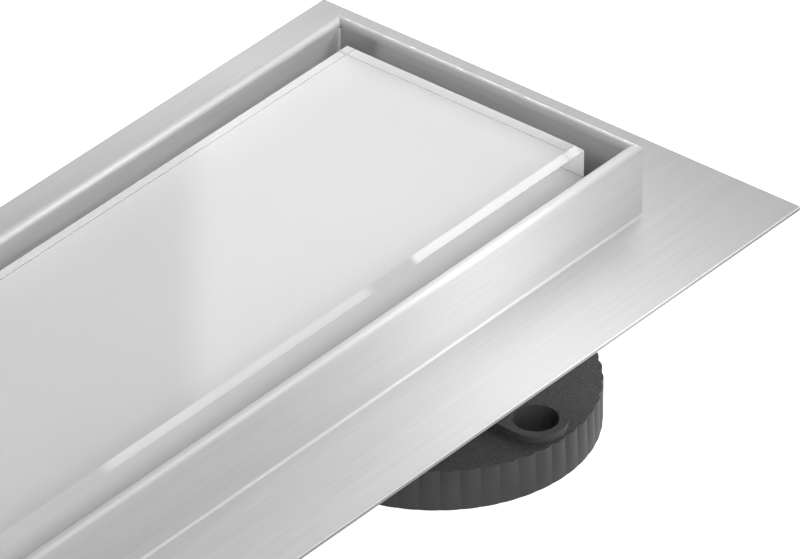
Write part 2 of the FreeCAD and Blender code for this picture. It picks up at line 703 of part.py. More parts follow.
def clamp_ring():
    """A plate on the trough's floor with a collar through the outlet hole."""
    bore, outside = "Places.ring_bore", "Places.ring_radius"
    collar, low = "Places.ring_bore + Sizes.ring_wall", "Places.sump_floor - Sizes.ring_collar"
    ring = turned_piece("clamp_ring_turned", [
        (bore, low), (collar, low), (collar, "Places.sump_floor"), (outside, "Places.sump_floor"),
        (outside, "Places.ring_top - Sizes.ring_plate / 3"),
        (f"{outside} - Sizes.ring_plate / 3", "Places.ring_top"), (bore, "Places.ring_top")])
    holes = fuse("ring_holes", screw_cylinders("ring_hole", "Sizes.screw_radius + Sizes.screw_clearance",
                                               "Places.sump_under", "Places.ring_top + Sizes.ring_plate"))
    return boolean("Cut", "clamp_ring", ring, holes)


def clamp_screws():
    """Four pan-head screws, as one group of separate solids."""
    shanks = screw_cylinders("screw_shank", "Sizes.screw_radius",
                             "Places.ring_top - Sizes.screw_length", "Places.ring_top")
    heads = screw_cylinders("screw_head", "Sizes.screw_head", "Places.ring_top",
                            "Places.ring_top + Sizes.screw_head_height")
    return fuse("clamp_screws", shanks + heads)


def dip_tube():
    """The removable tube that dips into the trap's water, with a groove for its seal."""
    bore, outside = "Places.tube_radius - Sizes.tube_wall", "Places.tube_radius"
    groove_half = "1.2 * Sizes.seal_half"
    low, high = f"Places.seal_centre - {groove_half}", f"Places.seal_centre + {groove_half}"
    return turned_piece("dip_tube", [
        (bore, "Sizes.tube_bottom"), (outside, "Sizes.tube_bottom"), (outside, low), ("Places.seal_root", low),
        ("Places.seal_root", high), (outside, high), (outside, "Places.ring_top"),
        ("Places.tube_rim", "Places.ring_top"), ("Places.tube_rim", "Places.tube_rim_top"),
        (bore, "Places.tube_rim_top")])


def tube_seal():
    """A square-section ring, pressed between the tube's groove and the clamp ring's bore."""
    low, high = "Places.seal_centre - Sizes.seal_half", "Places.seal_centre + Sizes.seal_half"
    return turned_piece("tube_seal", [("Places.seal_root", low), ("Places.ring_bore", low),
                                      ("Places.ring_bore", high), ("Places.seal_root", high)])


def hair_strainer():
    """A pressed cup whose rim lies on the dip tube, with rings of holes in its bottom."""
    cup, sheet = "Places.strainer_cup", "Sizes.strainer_sheet"
    base, seat = "Places.strainer_bottom", "Places.tube_rim_top"
    rim = "Places.tube_rim - Sizes.strainer_edge"
    body = turned_piece("hair_strainer", [
        ("0", base), (cup, base), (cup, seat), (rim, seat), (rim, f"{seat} + {sheet}"),
        (f"{cup} - {sheet}", f"{seat} + {sheet}"), (f"{cup} - {sheet}", f"{base} + {sheet}"),
        ("0", f"{base} + {sheet}")])
    ring = f"({cup} - Sizes.strainer_hole_edge)"
    for name, radius in (("centre", "0"), ("inner", f"{ring} / 2"), ("outer", ring)):
        count = int(2 * math.pi * number(radius) / number("Sizes.strainer_pitch"))
        sketch = add_sketch(body, f"strainer_{name}", "XY_Plane", f"{base} + 2 * {sheet}")
        circle(sketch, radius, "0", "Sizes.strainer_hole")
        hole = extrude(body, "Pocket", sketch, f"3 * {sheet}")
        if count > 1:
            polar(body, hole, sketch, count)
    return body


# The levelling feet: a fluted disc with a captive nut, turned up and down a welded stud

def fluted_outline(sketch, depth):
    """A closed ring of convex flutes, one arc each, with valleys this deep between them."""
    count = int(number("Sizes.flute_count"))
    crest = number("Sizes.foot_radius")
    step = 2 * math.pi / count
    valley = crest - depth
    corners = [V(valley * math.cos(angle), valley * math.sin(angle), 0)
               for angle in ((index + 0.5) * step for index in range(count))]
    for index in range(count):
        angle = (index + 1) * step
        top = V(crest * math.cos(angle), crest * math.sin(angle), 0)
        sketch.addGeometry(Part.Arc(corners[index], top, corners[(index + 1) % count]), False)
    for index in range(count):
        sketch.addConstraint(Sketcher.Constraint("Coincident", index, 2, (index + 1) % count, 1))


def hexagon(sketch, flats):
    """A hexagon with two flats square to X, from half its width over the flats."""
    corner = f"({flats}) / cos(30 deg)"
    polygon(sketch, [(f"{corner} * cos({angle} deg)", f"{corner} * sin({angle} deg)")
                     for angle in (30, 90, 150, 210, 270, 330)])


def levelling_foot(label, side):
    """A disc whose flutes run out towards the floor, with two screw bosses joined to its hub."""
    body = new_body(label)
    bottom = add_sketch(body, f"{label}_bottom", "XY_Plane")
    fluted_outline(bottom, number("Sizes.flute_depth_bottom"))
    top = add_sketch(body, f"{label}_top", "XY_Plane", "Sizes.foot_thickness")
    fluted_outline(top, number("Sizes.flute_depth_top"))
    disc = body.newObject("PartDesign::AdditiveLoft", f"{label}_disc")
    disc.Profile = bottom
    disc.Sections = [top]
    disc.Ruled = True

    raised = add_sketch(body, f"{label}_hub", "XY_Plane", "Sizes.foot_thickness / 2")
    circle(raised, "0", "0", "Sizes.hub_radius")
    extrude(body, "Pad", raised, "Places.boss_top - Sizes.foot_thickness / 2")
    bosses = add_sketch(body, f"{label}_bosses", "XY_Plane", "Sizes.foot_thickness / 2")
    long_slot(bosses, "Sizes.boss_radius", "Sizes.boss_circle")
    extrude(body, "Pad", bosses, "Places.boss_top - Sizes.foot_thickness / 2")

    tower = add_sketch(body, f"{label}_tower", "XY_Plane", "Sizes.foot_thickness / 2")
    circle(tower, "0", "0", "Sizes.tower_radius")
    extrude(body, "Pad", tower, "Sizes.tower_height - Sizes.foot_thickness / 2")
    nut_seat = add_sketch(body, f"{label}_nut_seat", "XY_Plane", "Sizes.tower_height")
    hexagon(nut_seat, "Sizes.nut_flats + Sizes.nut_fit")
    extrude(body, "Pocket", nut_seat, "Sizes.nut_height")
    bore = add_sketch(body, f"{label}_bore", "XY_Plane", "Sizes.tower_height")
    circle(bore, "0", "0", "Sizes.stud_radius + Sizes.stud_clearance")
    extrude(body, "Pocket", bore, "2 * Sizes.tower_height")
    holes = add_sketch(body, f"{label}_screw_holes", "XY_Plane", "Sizes.tower_height")
    for direction in (-1, 1):
        circle(holes, "0", f"{direction} * Sizes.boss_circle", "Sizes.boss_hole")
    extrude(body, "Pocket", holes, "2 * Sizes.tower_height")

    # Four hollows in the underside, between the hub, the bosses and the fluted edge
    hollow = add_sketch(body, f"{label}_hollow", "XY_Plane", "Sizes.pocket_depth")
    half_angle = "Sizes.pocket_half_angle"
    corners = [("Sizes.pocket_inner", f"(45 - {half_angle})"), ("Sizes.pocket_outer", f"(45 - {half_angle})"),
               ("Sizes.pocket_outer", "45"), ("Sizes.pocket_outer", f"(45 + {half_angle})"),
               ("Sizes.pocket_inner", f"(45 + {half_angle})"), ("Sizes.pocket_inner", "45")]
    polygon(hollow, [(f"{radius} * cos({angle} * 1 deg)", f"{radius} * sin({angle} * 1 deg)")
                     for radius, angle in corners])
    cut = extrude(body, "Pocket", hollow, "2 * Sizes.pocket_depth")
    polar(body, cut, hollow, 4)
    turn(body)
    place(body, x=f"{side} * Places.foot_x")
    return body


def turn(piece):
    """Turn a piece about its upright axis, as far as the foot happens to be turned at rest."""
    piece.Placement.Rotation = FreeCAD.Rotation(V(0, 0, 1), number("Sizes.foot_turned"))


def hex_nut(label, side, bottom, height, captive):
    """A hexagon nut: a captive one turns with its foot, a free one has its upper corners chamfered."""
    body = new_body(label)
    plan = add_sketch(body, f"{label}_plan", "XY_Plane", bottom)
    hexagon(plan, "Sizes.nut_flats")
    extrude(body, "Pad", plan, height)
    if not captive:
        corners = add_sketch(body, f"{label}_corners", "XZ_Plane")
        far, near, top = "2 * Sizes.nut_flats", "Sizes.nut_flats", f"{bottom} + {height}"
        polygon(corners, [(near, top), (far, top), (far, f"{top} - ({far} - {near}) * tan(30 deg)")])
        revolve(body, "Groove", corners)
    bore = add_sketch(body, f"{label}_bore", "XY_Plane", f"{bottom} + 2 * {height}")
    circle(bore, "0", "0", "Sizes.stud_radius + Sizes.nut_clearance")
    extrude(body, "Pocket", bore, f"3 * {height}")
    if captive:
        turn(body)
    place(body, x=f"{side} * Places.foot_x")
    return body


def foot_stud(label, side):
    """A stud with a flange welded to the trough's underside."""
    top, seat = "Places.end_under", "Places.end_under - Sizes.stud_flange"
    body = turned_piece(label, [
        ("0", "Sizes.stud_bottom"), ("Sizes.stud_radius - Sizes.stud_chamfer", "Sizes.stud_bottom"),
        ("Sizes.stud_radius", "Sizes.stud_bottom + Sizes.stud_chamfer"), ("Sizes.stud_radius", seat),
        ("Sizes.stud_flange_radius", seat), ("Sizes.stud_flange_radius", top), ("0", top)])
    place(body, x=f"{side} * Places.foot_x")
    return body


# Every piece of the drain, by its node name
pieces = [channel_body(), glass_panel(), cover_tray(),
          bond_strip("bond_strip_front", -1), bond_strip("bond_strip_rear", 1)]
for word, direction in (("left", -1), ("right", 1)):
    for spot in ("inner", "outer"):
        pieces.append(support_bridge(f"support_bridge_{spot}_{word}", f"Places.bridge_{spot}", direction))
        pieces.append(buffer_pad(f"buffer_pad_{spot}_{word}", f"Places.bridge_{spot}", direction))
pieces += [outlet_gasket(), trap_body(), clamp_ring(), clamp_screws(), dip_tube(), tube_seal(), hair_strainer()]
for word, direction in (("left", -1), ("right", 1)):
    pieces.append(levelling_foot(f"levelling_foot_{word}", direction))
    pieces.append(foot_stud(f"foot_stud_{word}", direction))
    pieces.append(hex_nut(f"foot_nut_{word}", direction, "Places.nut_bottom", "Sizes.nut_height", True))
    pieces.append(hex_nut(f"lock_nut_{word}", direction, "Sizes.tower_height", "Sizes.lock_nut_height", False))
doc.recompute()

# Check every object before anything is written
for item in doc.Objects:
    if "Invalid" in item.State or "Error" in item.State:
        raise RuntimeError(f"{item.Label} failed: {item.State}")
os.makedirs("parts", exist_ok=True)
for piece in pieces:
    shape = piece.Shape
    if shape.isNull() or not shape.isValid() or not shape.Solids:
        raise RuntimeError(f"{piece.Label} has no valid solid")
    shape.exportStep(f"parts/{piece.Label}.step")
    box = shape.BoundBox
    print(f"{piece.Label}: {len(shape.Solids)} solid, {shape.Volume / 1000:.2f} cm3, "
          f"x {box.XMin:.1f} to {box.XMax:.1f}, y {box.YMin:.1f} to {box.YMax:.1f}, "
          f"z {box.ZMin:.1f} to {box.ZMax:.1f}")
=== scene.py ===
# %% [markdown]
# # A linear shower drain with a glass cover
#
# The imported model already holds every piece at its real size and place. This lesson gives those
# pieces their finishes, puts the paint behind the glass, threads the foot studs, and sets up the
# floor, the light and the camera. Everything is in metres. +X runs along the channel, +Y points to
# the outlet, and the feet stand on z = 0.

# %% Load the frame
import math

import bpy
from mathutils import Matrix, Vector


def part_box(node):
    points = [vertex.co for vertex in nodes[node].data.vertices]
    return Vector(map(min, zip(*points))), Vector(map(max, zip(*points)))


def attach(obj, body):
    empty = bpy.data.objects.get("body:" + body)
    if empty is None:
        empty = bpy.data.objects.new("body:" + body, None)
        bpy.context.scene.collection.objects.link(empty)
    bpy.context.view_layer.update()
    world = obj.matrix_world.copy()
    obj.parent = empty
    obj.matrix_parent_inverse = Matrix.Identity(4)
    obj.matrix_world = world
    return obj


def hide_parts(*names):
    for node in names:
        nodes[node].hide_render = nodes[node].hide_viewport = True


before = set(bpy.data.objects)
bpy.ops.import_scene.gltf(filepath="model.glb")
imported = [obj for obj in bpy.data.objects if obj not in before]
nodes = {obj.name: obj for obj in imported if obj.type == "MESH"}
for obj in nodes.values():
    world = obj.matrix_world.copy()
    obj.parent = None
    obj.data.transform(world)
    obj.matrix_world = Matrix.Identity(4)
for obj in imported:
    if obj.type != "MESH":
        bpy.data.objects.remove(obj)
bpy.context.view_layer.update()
print(len(nodes), "pieces come from the frame")

# %% [markdown]
# ## Helpers for materials
#
# Colours are written as the hex values a picker shows. Blender's shaders work in linear light, so
# one function turns the hex value into linear numbers. Another adds one shader node, sets its
# options, and fills each input either with a value or with a link from another node's output.
# Patterns lie on Object coordinates, which are metres on these pieces, so a pattern's scale is one
# over its real size.

# %% Material helpers
MM = 0.001
NOISE_LOW, NOISE_MIDDLE, NOISE_HIGH = 0.3, 0.5, 0.7     # Blender's noise mostly stays within these


def linear(hex_colour):
    """An sRGB hex colour as the linear RGBA that shaders use."""
    channels = [int(hex_colour[i:i + 2], 16) / 255 for i in (1, 3, 5)]
    return [c / 12.92 if c <= 0.04045 else ((c + 0.055) / 1.055) ** 2.4 for c in channels] + [1.0]


def add_node(tree, kind, inputs=None, **settings):
    """One node: settings are its options, inputs its sockets by name or number."""
    made = tree.nodes.new(kind)
    for option, value in settings.items():
        setattr(made, option, value)
    for socket, value in (inputs or {}).items():
        if isinstance(value, bpy.types.NodeSocket):
            tree.links.new(value, made.inputs[socket])
        else:
            made.inputs[socket].default_value = value
    return made


def new_material(name, **values):
    """A material with one Principled shader, whose sockets take the given values."""
    material = bpy.data.materials.new(name)
    material.use_nodes = True
    shader = material.node_tree.nodes["Principled BSDF"]
    for socket, value in values.items():
        shader.inputs[socket.replace("_", " ")].default_value = value
    return material, material.node_tree, shader


def object_coordinates(tree, *sizes):
    """Object coordinates in units of a pattern's size: one size for all axes, or one for each."""
    scale = [1 / size for size in (sizes if len(sizes) == 3 else sizes * 3)]
    place = add_node(tree, "ShaderNodeTexCoord")
    scaled = add_node(tree, "ShaderNodeMapping", {"Vector": place.outputs["Object"], "Scale": scale})
    return scaled.outputs["Vector"]


print("material helpers are ready: mid grey is", round(linear("#808080")[0], 3), "in linear light")

# %% [markdown]
# ## Brushed stainless steel
#
# The channel is folded from sheet that was brushed along its length with a belt of about 180 grit.
# That leaves long fine scratches, all parallel to X: the eye sees them as streaks, and every
# reflection is smeared across them. Noise that is stretched along X makes the scratches. The
# anisotropic shader makes the smear: its tangent lies along X and is then turned a quarter, because
# the surface is rough across the scratches and smooth along them. The end walls were brushed level,
# along Y, so there the noise is stretched along Y instead.

# %% The brushing's pattern
STREAK_LENGTH = 26 * MM     # how far one scratch can be followed
STREAK_WIDTH = 0.38 * MM    # coarser than real scratches, so that they show in the picture
BAND_LENGTH = 160 * MM      # softer bands where the belt pressed harder
BAND_WIDTH = 3.0 * MM


def faces_ends(tree):
    """How far a face looks along X: 0 on the flange and the long walls, 1 on the end walls."""
    geometry = add_node(tree, "ShaderNodeNewGeometry")
    facing = add_node(tree, "ShaderNodeSeparateXYZ", {"Vector": geometry.outputs["True Normal"]})
    square = add_node(tree, "ShaderNodeMath", {0: facing.outputs["X"], 1: facing.outputs["X"]},
                      operation="MULTIPLY")
    return square.outputs["Value"]


def streaks(tree, ends, length, width, detail):
    """Noise stretched along X, or along Y on the end walls."""
    kinds = []
    for sizes in ((length, width, width), (width, length, width)):
        kinds.append(add_node(tree, "ShaderNodeTexNoise", {
            "Vector": object_coordinates(tree, *sizes), "Scale": 1.0, "Detail": detail, "Roughness": 0.6}))
    return add_node(tree, "ShaderNodeMix", {
        "Factor": ends, "A": kinds[0].outputs["Fac"], "B": kinds[1].outputs["Fac"]}).outputs["Result"]


print("scratches of", round(STREAK_LENGTH / MM), "mm and bands of", round(BAND_LENGTH / MM), "mm")

# %% [markdown]
# ### Folds and cut edges
#
# The folds get a painted highlight: where the sheet turns, its colour is made lighter, and it is a
# little smoother there. The flange's sheared edge is dull, and a painted highlight runs along its top,
# where deburring left a small bevel that catches the light. A fold is found by the way its faces look,
# and the edge by its height as well.

# %% Folds and cut edges
# Painted highlight: the folds' colour, lighter than the sheet, stands in for light caught where the sheet
# turns
FOLD_HIGHLIGHT_PAINT = "#d0d0d0"
FOLD_ROUGHNESS = 0.37
FOLD_START = 0.16           # the painted highlight and the smoother finish start where a fold's slope passes this
CUT_EDGE = "#acacac"
CUT_EDGE_HEIGHTS = (56.5 * MM, 58.3 * MM)
# Painted highlight: a near-white strip along the top of the flange's cut edge, standing in for light caught
# by the small bevel that deburring left
CUT_EDGE_HIGHLIGHT = "#fafafa"
CUT_EDGE_HIGHLIGHT_HEIGHTS = (58.1 * MM, 58.5 * MM)


def bends(tree):
    """Where the sheet is folded: 1 where a face looks half up and half sideways, 0 on flat sheet."""
    geometry = add_node(tree, "ShaderNodeNewGeometry")
    facing = add_node(tree, "ShaderNodeSeparateXYZ", {"Vector": geometry.outputs["Normal"]})
    upward = add_node(tree, "ShaderNodeMath", {0: facing.outputs["Z"], 1: facing.outputs["Z"]},
                      operation="MULTIPLY")
    sideways = add_node(tree, "ShaderNodeMath", {0: 1.0, 1: upward.outputs["Value"]},
                        operation="SUBTRACT")
    # The two add up to 1, so their product is 0 on flat sheet and 0.25 halfway round a fold
    slope = add_node(tree, "ShaderNodeMath", {0: upward.outputs["Value"], 1: sideways.outputs["Value"]},
                     operation="MULTIPLY")
    fold = add_node(tree, "ShaderNodeMapRange", {
        "Value": slope.outputs["Value"], "From Min": FOLD_START, "From Max": 0.25})
    return fold.outputs["Result"]


def cut_edges(tree, heights):
    """The sheared edge of the flange: upright faces between two heights."""
    low, high = heights
    geometry = add_node(tree, "ShaderNodeNewGeometry")
    facing = add_node(tree, "ShaderNodeSeparateXYZ", {"Vector": geometry.outputs["True Normal"]})
    upright = add_node(tree, "ShaderNodeMath", {0: facing.outputs["Z"], 1: 0.0, 2: 0.5},
                       operation="COMPARE")
    place = add_node(tree, "ShaderNodeTexCoord")
    height = add_node(tree, "ShaderNodeSeparateXYZ", {"Vector": place.outputs["Object"]})
    within = add_node(tree, "ShaderNodeMath", {
        0: height.outputs["Z"], 1: (low + high) / 2, 2: (high - low) / 2}, operation="COMPARE")
    both = add_node(tree, "ShaderNodeMath", {0: upright.outputs["Value"], 1: within.outputs["Value"]},
                    operation="MULTIPLY")
    return both.outputs["Value"]


print("the flange's cut edge is looked for from", round(CUT_EDGE_HEIGHTS[0] / MM, 1), "mm up")

# %% [markdown]
# ### The two steels
#
# The channel gets the full brushing. The tray, the bridges, the strainer, the clamp ring and the
# studs keep the mill's own finish: darker and more even, so their pattern is the same but fainter.

# %% Stainless steel
BAND_SHARE = 0.35           # how much of the pattern the bands are
ROUGHNESS_CHANGE = 0.05     # how far the pattern moves the roughness, up and down
SCRATCH_DEPTH = 0.02 * MM
SCRATCH_STRENGTH = 0.8


def brushed_steel(name, dark, light, rough, contrast=1.0):
    """Stainless sheet brushed along X; contrast is how strong the scratches are."""
    material, tree, shader = new_material(name, Metallic=1.0, Anisotropic=1.0, Anisotropic_Rotation=0.25)
    ends = faces_ends(tree)
    fine = streaks(tree, ends, STREAK_LENGTH, STREAK_WIDTH, 2.0)
    broad = streaks(tree, ends, BAND_LENGTH, BAND_WIDTH, 1.0)
    pattern = add_node(tree, "ShaderNodeMix", {"Factor": BAND_SHARE, "A": fine, "B": broad})
    tint = add_node(tree, "ShaderNodeMapRange", {
        "Value": pattern.outputs["Result"], "From Min": NOISE_LOW, "From Max": NOISE_HIGH})
    colour = add_node(tree, "ShaderNodeMix", {
        "Factor": tint.outputs["Result"], "A": linear(dark), "B": linear(light)}, data_type="RGBA")
    # The fold mask paints a highlight into the folds' colour and makes them smoother
    fold = bends(tree)
    # The folds and the strip at the top of the cut edge get painted highlights; the cut edge below keeps
    # its own duller tone
    for place, finish in ((fold, FOLD_HIGHLIGHT_PAINT), (cut_edges(tree, CUT_EDGE_HEIGHTS), CUT_EDGE),
                          (cut_edges(tree, CUT_EDGE_HIGHLIGHT_HEIGHTS), CUT_EDGE_HIGHLIGHT)):
        colour = add_node(tree, "ShaderNodeMix", {
            "Factor": place, "A": colour.outputs["Result"], "B": linear(finish)}, data_type="RGBA")
    tree.links.new(colour.outputs["Result"], shader.inputs["Base Color"])
    gloss = add_node(tree, "ShaderNodeMapRange", {
        "Value": pattern.outputs["Result"], "From Min": NOISE_LOW, "From Max": NOISE_HIGH,
        "To Min": rough - ROUGHNESS_CHANGE * contrast, "To Max": rough + ROUGHNESS_CHANGE * contrast})
    smooth = add_node(tree, "ShaderNodeMix", {
        "Factor": fold, "A": gloss.outputs["Result"], "B": FOLD_ROUGHNESS})
    tree.links.new(smooth.outputs["Result"], shader.inputs["Roughness"])
    sides = add_node(tree, "ShaderNodeMath", {0: 1.0, 1: ends}, operation="SUBTRACT")
    along = add_node(tree, "ShaderNodeCombineXYZ", {"X": sides.outputs["Value"], "Y": ends, "Z": 0.0})
    tree.links.new(along.outputs["Vector"], shader.inputs["Tangent"])
    bump = add_node(tree, "ShaderNodeBump", {
        "Height": fine, "Strength": SCRATCH_STRENGTH * contrast, "Distance": SCRATCH_DEPTH})
    tree.links.new(bump.outputs["Normal"], shader.inputs["Normal"])
    return material


channel_steel = brushed_steel("brushed stainless sheet", "#cbcbcb", "#d8d8d8", 0.43)
mill_steel = brushed_steel("mill finish stainless", "#b4b4b5", "#c6c6c6", 0.45, contrast=0.6)
print("steels:", channel_steel.name, "and", mill_steel.name)

# %% [markdown]
# ## Zinc-plated steel
#
# Nuts and screws are plated with bright zinc, which is a little bluer than stainless steel and
# has faint cloudy patches from its passivation bath.

# %% Bright zinc plating
CLOUD_SIZE = 3 * MM
zinc, tree, shader = new_material("bright zinc plating", Metallic=1.0, Roughness=0.24)
cloud = add_node(tree, "ShaderNodeTexNoise", {
    "Vector": object_coordinates(tree, CLOUD_SIZE), "Scale": 1.0, "Detail": 3.0})
plating = add_node(tree, "ShaderNodeMix", {
    "Factor": cloud.outputs["Fac"], "A": linear("#b9c0c9"), "B": linear("#dcdcd6")}, data_type="RGBA")
tree.links.new(plating.outputs["Result"], shader.inputs["Base Color"])
print("plating:", zinc.name, "with clouds of", round(CLOUD_SIZE / MM), "mm")

# %% [markdown]
# ## Moulded plastics and rubber
#
# The feet are moulded in dark grey polypropylene from a spark-eroded tool, which leaves a fine
# even grain: close up it is a dull surface full of tiny glints. Only their tops have it, because a
# mould can't slide off grained sides. The trap is a smoother grey moulding, the dip tube a pale
# one, the seals and pads are black rubber with a dusty bloom, and the tape under the glass is a
# matt white foam. All of them are a colour with a slight mottle, a roughness and a bump of the
# grain's real size.

# %% Moulded materials
MOTTLE = 12 * MM                # the size of a moulding's faint clouds
BROAD_MOTTLE = 30 * MM
GRAIN_STRENGTH = 0.6
TOP_STARTS, TOP_FULL = 0.3, 0.9     # how far up a face looks where the sides' finish gives way


def moulded(name, dark, light, rough, grain, depth, mottle=MOTTLE, share=0.6, sides=1.0):
    """A moulded surface: grain is the size of its texture and depth how deep it is.

    share is how much the grain, not the mottle, changes the colour, and sides how much of the
    grain is left on the sides.
    """
    material, tree, shader = new_material(name, Roughness=rough, Specular_IOR_Level=0.42)
    spots = add_node(tree, "ShaderNodeTexNoise", {
        "Vector": object_coordinates(tree, mottle), "Scale": 1.0, "Detail": 5.0})
    pits = add_node(tree, "ShaderNodeTexNoise", {
        "Vector": object_coordinates(tree, grain), "Scale": 1.0, "Detail": 3.0, "Roughness": 0.7})
    geometry = add_node(tree, "ShaderNodeNewGeometry")
    facing = add_node(tree, "ShaderNodeSeparateXYZ", {"Vector": geometry.outputs["True Normal"]})
    upward = add_node(tree, "ShaderNodeMapRange", {
        "Value": facing.outputs["Z"], "From Min": TOP_STARTS, "From Max": TOP_FULL,
        "To Min": sides, "To Max": 1.0})
    relief = add_node(tree, "ShaderNodeMix", {
        "Factor": upward.outputs["Result"], "A": NOISE_MIDDLE, "B": pits.outputs["Fac"]})
    blend = add_node(tree, "ShaderNodeMix", {
        "Factor": share, "A": spots.outputs["Fac"], "B": relief.outputs["Result"]})
    spread = add_node(tree, "ShaderNodeMapRange", {
        "Value": blend.outputs["Result"], "From Min": NOISE_LOW, "From Max": NOISE_HIGH})
    colour = add_node(tree, "ShaderNodeMix", {
        "Factor": spread.outputs["Result"], "A": linear(dark), "B": linear(light)}, data_type="RGBA")
    tree.links.new(colour.outputs["Result"], shader.inputs["Base Color"])
    bump = add_node(tree, "ShaderNodeBump", {
        "Height": relief.outputs["Result"], "Strength": GRAIN_STRENGTH, "Distance": depth})
    tree.links.new(bump.outputs["Normal"], shader.inputs["Normal"])
    return material


# The feet's grain is drawn about twice as coarse as it is, so that it shows in the picture
foot_plastic = moulded("grained polypropylene", "#171718", "#575758", 0.48, 0.42 * MM, 0.25 * MM,
                       share=0.85, sides=0.12)
trap_plastic = moulded("satin grey polypropylene", "#6d6f72", "#7c7e81", 0.42, 0.7 * MM, 0.02 * MM,
                       BROAD_MOTTLE)
tube_plastic = moulded("pale polypropylene", "#c9cbcd", "#d6d8d9", 0.34, 0.8 * MM, 0.01 * MM,
                       BROAD_MOTTLE)
rubber = moulded("black rubber", "#161616", "#232323", 0.62, 0.4 * MM, 0.03 * MM)
tape = moulded("white bonding tape", "#d4d4d2", "#e2e2e0", 0.7, 0.3 * MM, 0.05 * MM)
for kind in (foot_plastic, trap_plastic, tube_plastic, rubber, tape):
    print("moulding:", kind.name)

# %% [markdown]
# ## Glass, and the paint behind it
#
# The cover is clear float glass, painted white on its underside. Seen from above the paint looks
# as if it lay on the top, but the bevel and the edge stay clear and bend the light. So the glass
# is a real refracting solid, and the paint is a thin piece of its own under it. The paint is
# rolled on, which leaves it with hardly any mottle.

# %% Glass and paint
ROLLER_MOTTLE = 25 * MM
glass, tree, shader = new_material(
    "clear float glass", Transmission_Weight=1.0, Roughness=0.0, IOR=1.52, Base_Color=linear("#fcfcfc"))
# Lamps shine straight through the glass onto the paint
rays = add_node(tree, "ShaderNodeLightPath")
clear = add_node(tree, "ShaderNodeBsdfTransparent")
either = add_node(tree, "ShaderNodeMixShader", {
    0: rays.outputs["Is Shadow Ray"], 1: shader.outputs["BSDF"], 2: clear.outputs["BSDF"]})
tree.links.new(either.outputs["Shader"], tree.nodes["Material Output"].inputs["Surface"])

paint, tree, shader = new_material("white glass paint", Roughness=0.5)
coat = add_node(tree, "ShaderNodeTexNoise", {
    "Vector": object_coordinates(tree, ROLLER_MOTTLE), "Scale": 1.0, "Detail": 3.0})
shade = add_node(tree, "ShaderNodeMix", {
    "Factor": coat.outputs["Fac"], "A": linear("#dedede"), "B": linear("#e2e2e2")}, data_type="RGBA")
tree.links.new(shade.outputs["Result"], shader.inputs["Base Color"])
print("cover:", glass.name, "over", paint.name)

# %% [markdown]
# ## Giving each piece its finish
#
# Each carried-over piece is matched by the start of its name.

# %% Assign the finishes
FINISHES = {
    "channel_body": channel_steel, "glass_panel": glass, "cover_tray": mill_steel,
    "bond_strip": tape, "support_bridge": mill_steel, "buffer_pad": rubber,
    "outlet_gasket": rubber, "trap_body": trap_plastic, "clamp_ring": mill_steel,
    "clamp_screws": zinc, "dip_tube": tube_plastic, "tube_seal": rubber,
    "hair_strainer": mill_steel, "levelling_foot": foot_plastic, "foot_stud": mill_steel,
    "foot_nut": zinc, "lock_nut": zinc,
}
for name, piece in nodes.items():
    finish = [material for start, material in FINISHES.items() if name.startswith(start)][0]
    piece.data.materials.clear()
    piece.data.materials.append(finish)
print("finishes given to", len(nodes), "pieces")

# %% [markdown]
# ## The white paint film
#
# The film is a tenth of a millimetre thick and ends just short of the glass's edge. It lies just
# inside the solid, so that it touches the glass with no air between: with air there, the underside
# would mirror like water seen from below, and hide the paint from the side. A cube is pulled to
# the film's size in edit mode.

# %% Paint film
PAINT_THICKNESS = 0.10 * MM
PAINT_DEPTH = 0.02 * MM
PAINT_MARGIN = 0.06 * MM
glass_low, glass_high = (Vector(corner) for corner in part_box("glass_panel"))
film_low = glass_low + Vector((PAINT_MARGIN, PAINT_MARGIN, PAINT_DEPTH))
film_high = Vector((glass_high.x - PAINT_MARGIN, glass_high.y - PAINT_MARGIN, film_low.z + PAINT_THICKNESS))

bpy.ops.object.select_all(action="DESELECT")
bpy.ops.mesh.primitive_cube_add(size=1, location=(0, 0, 0))
paint_film = bpy.context.object
paint_film.name = "paint_film"
paint_film.data.name = "paint_film"
bpy.ops.object.mode_set(mode="EDIT")
bpy.ops.transform.resize(value=film_high - film_low)
bpy.ops.transform.translate(value=(film_low + film_high) / 2)
bpy.ops.object.mode_set(mode="OBJECT")
paint_film.data.materials.append(paint)
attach(paint_film, "drain")
print("paint film", [round(size / MM, 1) for size in paint_film.dimensions], "mm")

# %% [markdown]
# ## Rolled threads on the foot studs
#
# The solids carry plain studs. Here each becomes an M8 stud: a grid is rolled into a tube, and its
# rows are pressed in along a helix. The crests keep the plain stud's radius, so nothing touches
# that did not touch before. The last two rows are the flange that is welded to the trough.

# %% Threads
THREAD_PITCH = 1.25 * MM
THREAD_DEPTH = 0.70 * MM
CREST = 1.15                # over 1 flattens the crests
ROWS_PER_TURN = 8
STUD_SIDES = 28
STUD_RADIUS = 4.0 * MM
STUD_CHAMFER = 0.8 * MM
STUD_FLANGE = 2.0 * MM
WELD_GAP = 0.001 * MM       # points closer than this become one
SMOOTH_ANGLE = math.radians(40)


